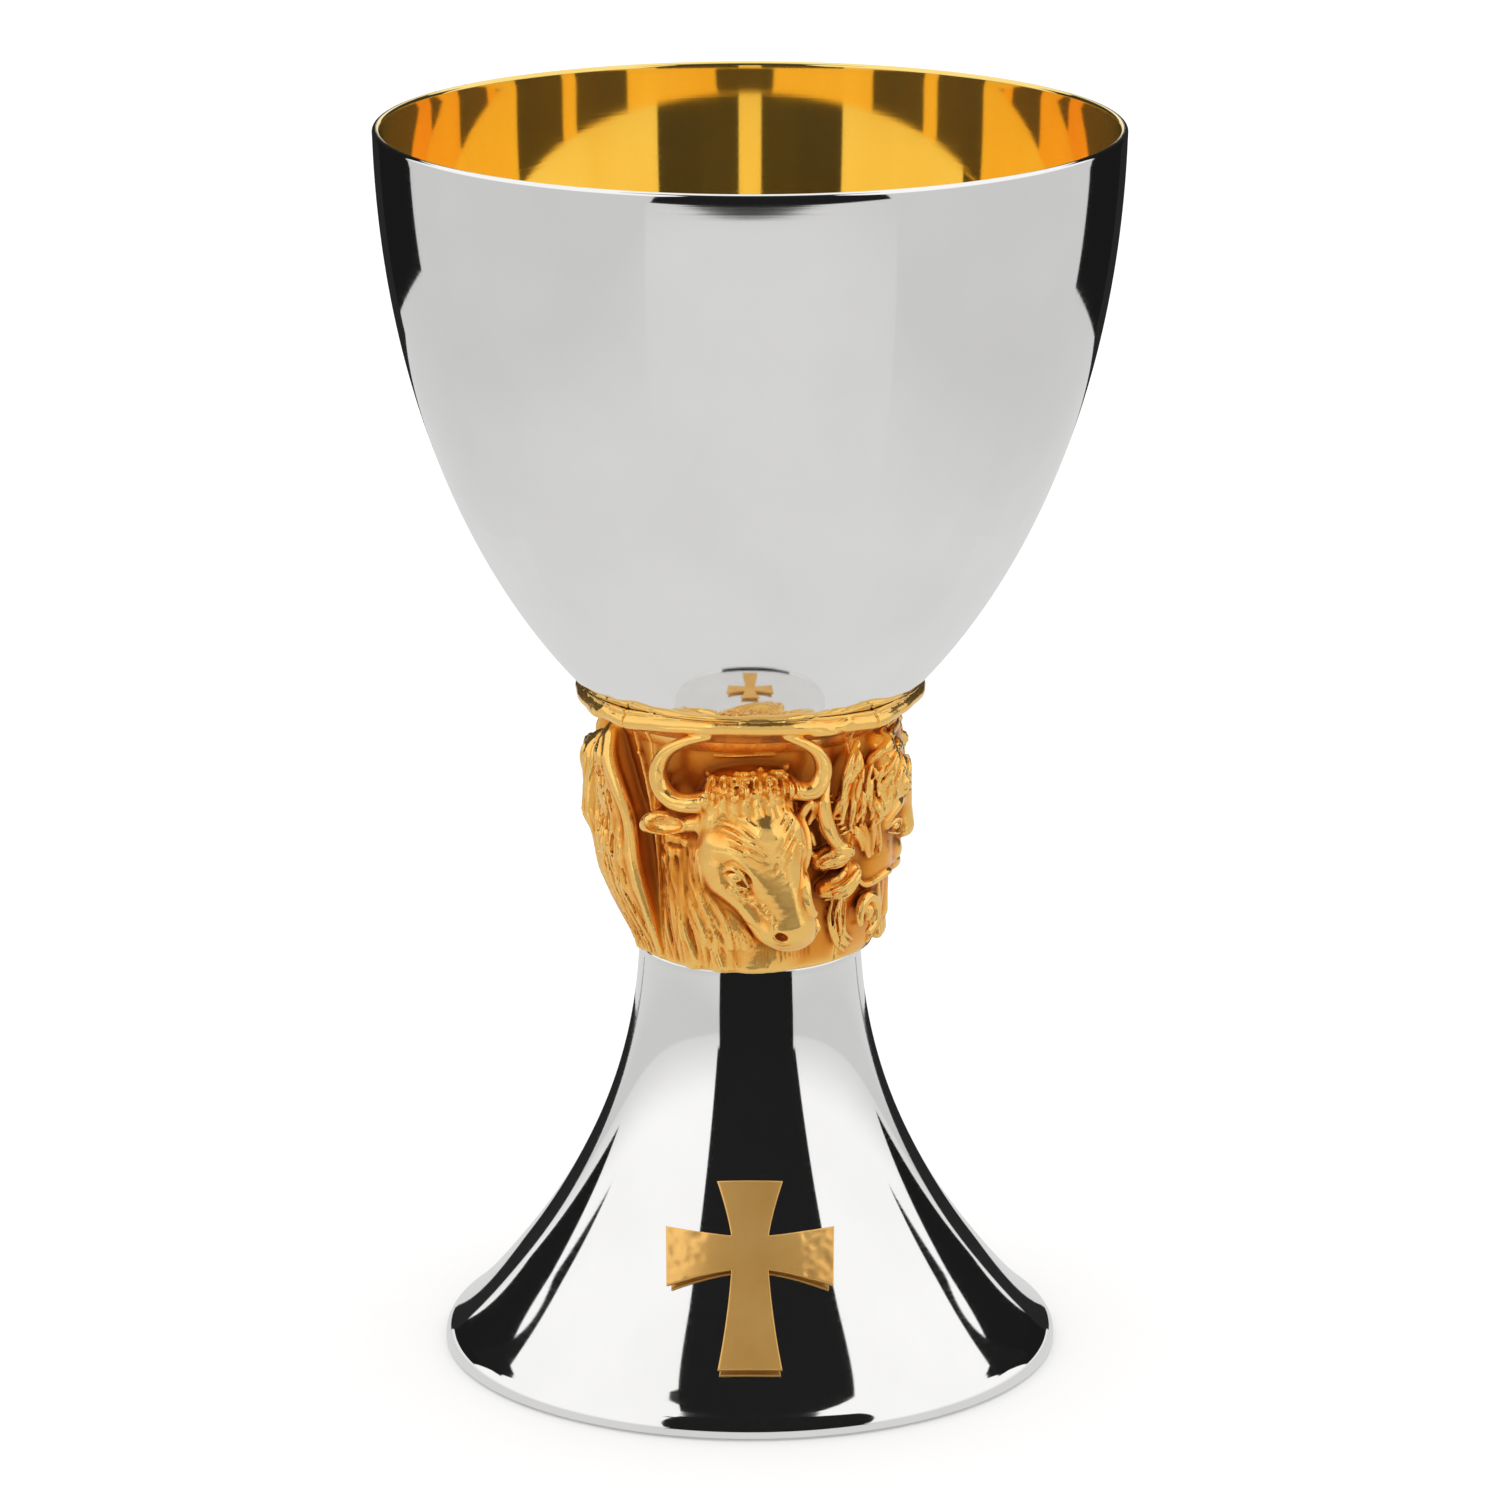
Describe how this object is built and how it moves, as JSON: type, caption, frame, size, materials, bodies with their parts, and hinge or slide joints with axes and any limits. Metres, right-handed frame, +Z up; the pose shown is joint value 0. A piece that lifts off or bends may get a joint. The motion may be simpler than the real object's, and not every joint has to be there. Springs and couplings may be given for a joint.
{
  "type": "communion chalice",
  "caption": "Footed communion cup: spun egg-shaped cup, cast relief knop and trumpet foot with an applied flared cross.",
  "frame": {"origin": "centre of the foot's resting plane", "axes": "+Z up along the cup's axis, -Y towards the front, where the ox casting and the applied cross are"},
  "size_m": [0.12, 0.12, 0.203],
  "materials": {
    "silver": "spun and polished silver plate, the cup satin and the foot bright",
    "gilt": "gilt brass casting, bright on the high points and darker in the hollows",
    "gilt_lining": "polished gilding on the cup's inside and lip",
    "cross_gilt": "satin gilt brass sheet",
    "plain_brass": "machined brass",
    "steel": "machined stainless steel"
  },
  "bodies": {
    "root": {"cup": "silver", "cup_boss": "plain_brass", "ox_casting": "gilt", "lion_casting": "gilt", "winged_man_casting": "gilt", "eagle_casting": "gilt", "knop_sleeve": "plain_brass", "knop_floor": "plain_brass", "foot": "silver", "base_ring": "silver", "bridge_washer": "plain_brass", "spring_washer": "steel", "tie_nut": "steel", "tie_rod": "steel", "cross_backing": "cross_gilt", "cross_plate": "cross_gilt", "cross_pins": "plain_brass"}
  },
  "joints": []
}
